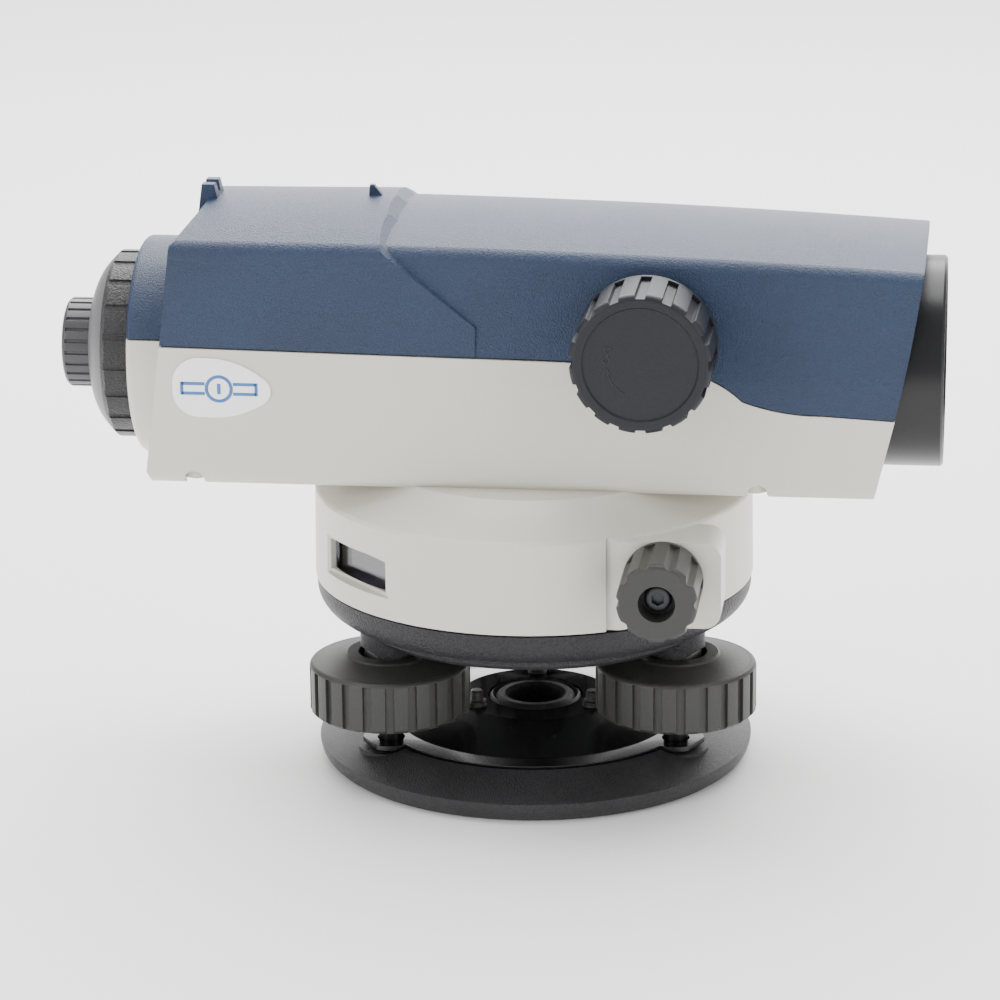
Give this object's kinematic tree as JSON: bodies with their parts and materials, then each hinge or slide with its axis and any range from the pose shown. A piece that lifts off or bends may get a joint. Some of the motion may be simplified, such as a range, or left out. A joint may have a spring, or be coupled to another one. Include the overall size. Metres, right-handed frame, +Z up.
{
  "type": "automatic level",
  "caption": "Surveyor's automatic level: focusing telescope with a hanging compensator on a rotating turret over a three-screw levelling base.",
  "frame": {"origin": "where the axis of the tripod thread meets the flat underside of the base plate", "axes": "+X along the telescope towards the objective, +Z up along the vertical axis, -Y towards the focusing knob's side"},
  "size_m": [0.2147, 0.134, 0.1431],
  "materials": {
    "black_casting": "textured black paint on cast aluminium",
    "black_spring_steel": "glossy black enamel on spring steel",
    "bright_steel": "turned bright steel",
    "dark_steel": "blackened steel",
    "grey_plastic": "moulded dark grey plastic, satin",
    "black_plastic": "textured black moulding",
    "brass": "turned brass",
    "scale_aluminium": "anodised, with engraved graduations",
    "light_paint": "light warm grey paint on cast aluminium, satin",
    "blue_paint": "fine-textured blue paint",
    "clear_glass": "polished",
    "lens_glass": "coated optical glass",
    "vial_glass": "bubble glass with tinted spirit",
    "mirror_glass": "silvered",
    "label_plastic": "printed label under clear resin",
    "black_aluminium": "black anodised, satin",
    "plain_aluminium": "machined"
  },
  "bodies": {
    "base": {"base_plate": "black_casting", "spring_plate": "black_spring_steel", "spring_plate_studs": "bright_steel"},
    "foot_left": {"foot_screw_left": "bright_steel", "foot_knob_left": "grey_plastic"},
    "foot_right": {"foot_screw_right": "bright_steel", "foot_knob_right": "grey_plastic"},
    "foot_rear": {"foot_screw_rear": "bright_steel", "foot_knob_rear": "grey_plastic"},
    "tribrach": {"tribrach": "black_casting", "foot_bushes": "bright_steel", "centre_spindle": "bright_steel", "spindle_screws": "dark_steel", "spindle_nut": "brass"},
    "circle": {"circle_ring": "black_plastic", "graduated_circle": "scale_aluminium"},
    "alidade": {"lower_housing": "light_paint", "top_cover": "blue_paint", "circle_window": "clear_glass", "cover_screws": "dark_steel", "name_label": "label_plastic", "telescope_tube": "black_aluminium", "objective_hood": "black_aluminium", "objective_crown": "lens_glass", "objective_flint": "lens_glass", "objective_rings": "black_aluminium", "focus_bush": "brass", "eyepiece_tube": "black_aluminium", "eyepiece_lock_ring": "black_plastic", "eyepiece_cone": "grey_plastic", "reticle_mount": "black_aluminium", "reticle_screws": "dark_steel", "reticle_disc": "clear_glass", "compensator_frame": "plain_aluminium", "damper_magnet": "dark_steel", "fixed_prisms": "clear_glass", "tangent_bushes": "brass", "bearing_sleeve": "brass", "vial_holder": "black_plastic", "circular_vial": "vial_glass", "vial_screws": "bright_steel", "vial_mirror": "mirror_glass", "vial_mirror_holder": "black_plastic"},
    "tangent": {"worm_shaft": "bright_steel", "tangent_knob_near": "grey_plastic", "tangent_knob_far": "grey_plastic", "tangent_knob_screws": "bright_steel"},
    "wheel": {"worm_wheel": "brass", "friction_washer": "black_spring_steel"},
    "focus": {"focus_pinion_shaft": "bright_steel", "focus_knob": "grey_plastic"},
    "carriage": {"focus_carriage": "black_aluminium", "focusing_lens": "lens_glass"},
    "pendulum": {"pendulum": "plain_aluminium", "pendulum_prism": "clear_glass", "suspension_wires": "bright_steel"},
    "eyepiece": {"eyepiece_barrel": "black_aluminium", "eye_lens": "lens_glass", "field_lens": "lens_glass"},
    "diopter": {"diopter_ring": "grey_plastic"}
  },
  "joints": [
    {"name": "level_lift", "type": "slide", "parent": "base", "child": "tribrach", "axis": [0, 0, 1], "range_m": [-0.0025, 0.0025]},
    {"name": "foot_left_turn", "type": "hinge", "parent": "base", "child": "foot_left", "pos_m": [-0.03301, -0.02312, 0.0065], "axis": [0, 0, 1], "range_deg": [-1085, 1085]},
    {"name": "foot_right_turn", "type": "hinge", "parent": "base", "child": "foot_right", "pos_m": [0.03652, -0.01703, 0.0065], "axis": [0, 0, 1], "range_deg": [-1085, 1085]},
    {"name": "foot_rear_turn", "type": "hinge", "parent": "base", "child": "foot_rear", "pos_m": [-0.00351, 0.04015, 0.0065], "axis": [0, 0, 1], "range_deg": [-1085, 1085]},
    {"name": "circle_turn", "type": "hinge", "parent": "tribrach", "child": "circle", "pos_m": [0, 0, 0.04], "axis": [0, 0, 1], "continuous": true},
    {"name": "alidade_turn", "type": "hinge", "parent": "tribrach", "child": "alidade", "pos_m": [0, 0, 0.065], "axis": [0, 0, 1], "continuous": true},
    {"name": "tangent_turn", "type": "hinge", "parent": "alidade", "child": "tangent", "pos_m": [0.036, 0, 0.0605], "axis": [0, -1, 0], "continuous": true},
    {"name": "wheel_turn", "type": "hinge", "parent": "alidade", "child": "wheel", "pos_m": [0, 0, 0.0605], "axis": [0, 0, 1], "continuous": true},
    {"name": "focus_turn", "type": "hinge", "parent": "alidade", "child": "focus", "pos_m": [0.031, -0.03, 0.1136], "axis": [0, -1, 0], "range_deg": [-229.1, 229.1]},
    {"name": "carriage_slide", "type": "slide", "parent": "alidade", "child": "carriage", "axis": [1, 0, 0], "range_m": [-0.01, 0.01]},
    {"name": "pendulum_swing", "type": "hinge", "parent": "alidade", "child": "pendulum", "pos_m": [-0.04, 0, 0.1184], "axis": [0, 1, 0], "range_deg": [-0.5, 0.5]},
    {"name": "eyepiece_slide", "type": "slide", "parent": "alidade", "child": "eyepiece", "axis": [-1, 0, 0], "range_m": [-0.0015, 0.0015]},
    {"name": "diopter_turn", "type": "hinge", "parent": "eyepiece", "child": "diopter", "pos_m": [-0.109, 0, 0.102], "axis": [-1, 0, 0], "range_deg": [-180, 180]}
  ],
  "couplings": [
    {"joint": "foot_left_turn", "follows": "level_lift", "rad_per_m": 6283.2},
    {"joint": "foot_right_turn", "follows": "level_lift", "rad_per_m": 6283.2},
    {"joint": "foot_rear_turn", "follows": "level_lift", "rad_per_m": 6283.2},
    {"joint": "wheel_turn", "follows": "tangent_turn", "ratio": 0.010417},
    {"joint": "carriage_slide", "follows": "focus_turn", "m_per_rad": 0.0025},
    {"joint": "eyepiece_slide", "follows": "diopter_turn", "m_per_rad": 0.00047699}
  ]
}
